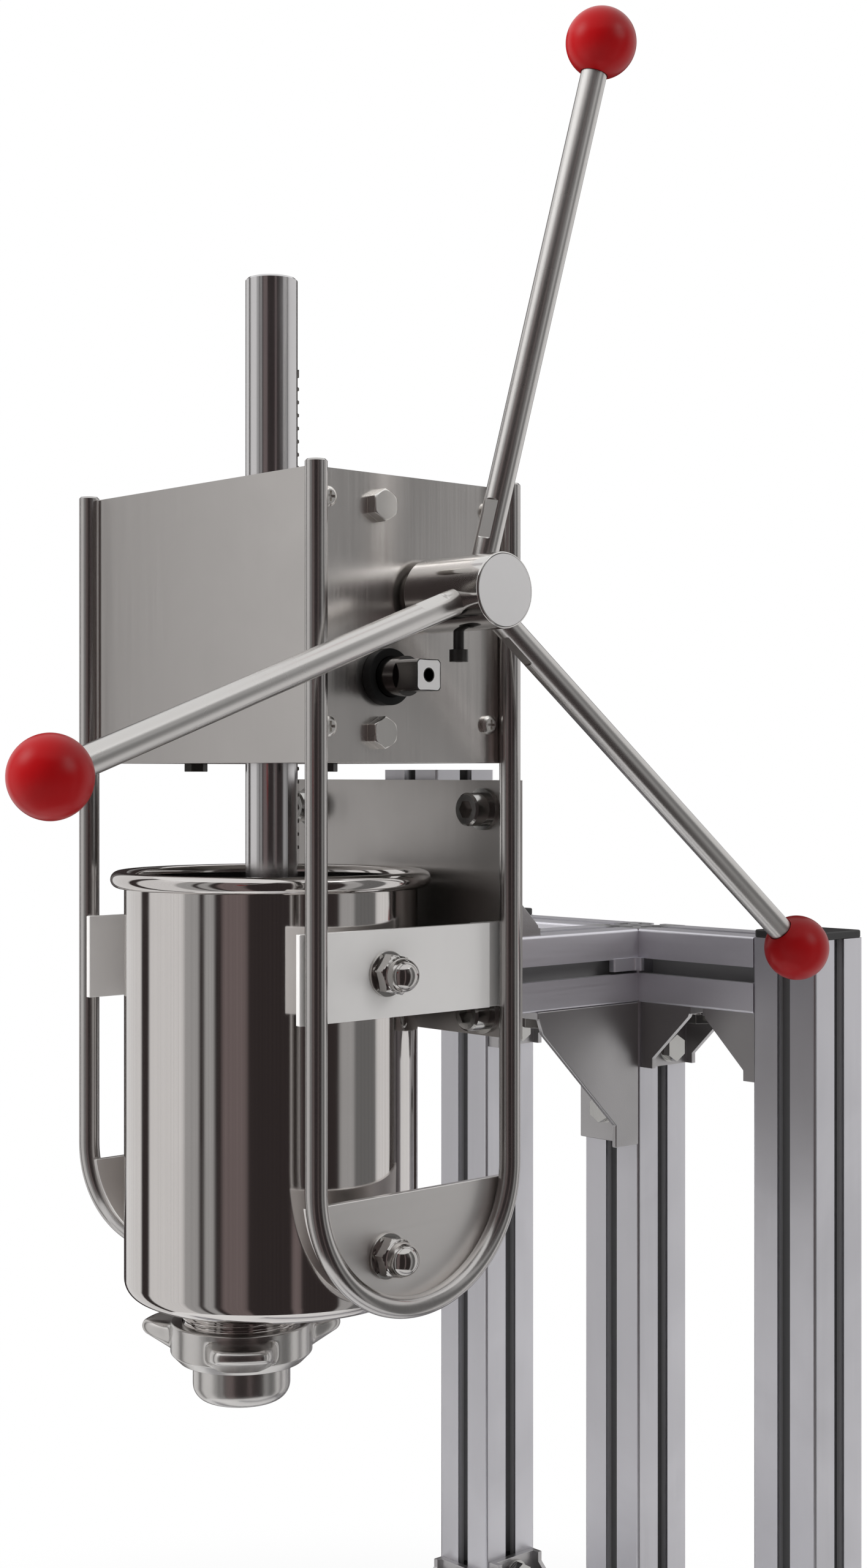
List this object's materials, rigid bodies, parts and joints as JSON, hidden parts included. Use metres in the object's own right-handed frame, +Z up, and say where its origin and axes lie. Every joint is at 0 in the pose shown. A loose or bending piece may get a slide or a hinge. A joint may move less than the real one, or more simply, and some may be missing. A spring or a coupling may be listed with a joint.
{
  "type": "manual churro machine",
  "caption": "Hand-cranked dough press: a rack-driven plunger in a steel barrel with a screw-on star nozzle, carried by bent rods on a slotted aluminium stand.",
  "frame": {"origin": "on the floor, in the middle of the outline seen from above", "axes": "+Z up, +X towards the crank side, -Y towards the plain front cover and the nozzle side, +Y towards the stand"},
  "size_m": [0.3034, 0.512, 0.8951],
  "materials": {
    "profile_aluminium": "satin anodised",
    "cast_bracket": "tumbled die casting",
    "zinc_bolt": "zinc plated",
    "dark_bolt": "black oxide",
    "black_plastic": "fine grain",
    "rubber_foot": "matte",
    "polished_steel": "polished stainless steel",
    "satin_steel": "satin stainless steel",
    "machined_aluminium": "machined",
    "bronze_bush": "turned bronze",
    "blackened_steel": "blackened",
    "gear_steel": "oiled dark steel",
    "red_grip": "glossy",
    "white_piston": "turned food plastic",
    "seal_rubber": "smooth"
  },
  "bodies": {
    "machine": {"stand_leg_left": "profile_aluminium", "stand_leg_middle": "profile_aluminium", "stand_leg_right": "profile_aluminium", "top_rail_left": "profile_aluminium", "top_rail_right": "profile_aluminium", "low_rail_left": "profile_aluminium", "low_rail_right": "profile_aluminium", "floor_rail_left": "profile_aluminium", "floor_rail_right": "profile_aluminium", "arm_beam": "profile_aluminium", "mounting_post": "profile_aluminium", "corner_brackets": "cast_bracket", "arm_gusset": "cast_bracket", "stand_bolts": "zinc_bolt", "slot_nuts": "dark_bolt", "profile_caps": "black_plastic", "rubber_feet": "rubber_foot", "frame_rod_left": "polished_steel", "frame_rod_right": "polished_steel", "side_plate_left": "satin_steel", "side_plate_right": "satin_steel", "strap_left": "satin_steel", "strap_right": "satin_steel", "bow_plate_left": "satin_steel", "bow_plate_right": "satin_steel", "back_plate": "satin_steel", "adapter_plate": "machined_aluminium", "back_bolts": "zinc_bolt", "adapter_screws": "dark_bolt", "front_cover": "satin_steel", "rear_cover": "satin_steel", "top_cover": "satin_steel", "bottom_cover": "satin_steel", "cover_screws": "satin_steel", "guide_bar_upper": "machined_aluminium", "guide_bar_lower": "machined_aluminium", "guide_bushes": "bronze_bush", "guide_bolts": "polished_steel", "floor_screws": "dark_bolt", "bearing_plate": "satin_steel", "drive_bushes": "gear_steel", "slow_bushes": "blackened_steel", "barrel": "polished_steel", "cap_nuts": "polished_steel"},
    "crank": {"drive_shaft": "satin_steel", "rack_pinion": "gear_steel", "drive_gear": "gear_steel", "crank_hub": "polished_steel", "hub_screw": "dark_bolt", "crank_rods": "satin_steel", "ball_grips": "red_grip"},
    "plunger": {"plunger_column": "polished_steel", "rack_bar": "gear_steel", "piston": "white_piston", "piston_seal": "seal_rubber", "piston_nut": "satin_steel"},
    "slow_drive": {"slow_shaft": "gear_steel", "slow_pinion": "gear_steel"},
    "nozzle_cup": {"nozzle": "polished_steel"},
    "ring_nut": {"nozzle_ring": "polished_steel"}
  },
  "joints": [
    {"name": "crank_turn", "type": "hinge", "parent": "machine", "child": "crank", "pos_m": [-0.01167, 0.00047, 0.63], "axis": [1, 0, 0], "range_deg": [-429, 394]},
    {"name": "plunger_slide", "type": "slide", "parent": "machine", "child": "plunger", "axis": [0, 0, -1], "range_m": [-0.1052, 0.0966]},
    {"name": "slow_shaft_turn", "type": "hinge", "parent": "machine", "child": "slow_drive", "pos_m": [-0.01167, -0.02456, 0.59261], "axis": [1, 0, 0], "range_deg": [-790, 860]},
    {"name": "nozzle_drop", "type": "slide", "parent": "machine", "child": "nozzle_cup", "axis": [0, 0, -1], "range_m": [0, 0.016]},
    {"name": "ring_nut_turn", "type": "hinge", "parent": "nozzle_cup", "child": "ring_nut", "pos_m": [-0.01167, -0.04103, 0.282], "axis": [0, 0, -1], "range_deg": [0, 1890]}
  ],
  "couplings": [
    {"joint": "plunger_slide", "follows": "crank_turn", "m_per_rad": 0.014},
    {"joint": "slow_shaft_turn", "follows": "crank_turn", "ratio": -2},
    {"joint": "nozzle_drop", "follows": "ring_nut_turn", "m_per_rad": 0.00047746}
  ]
}
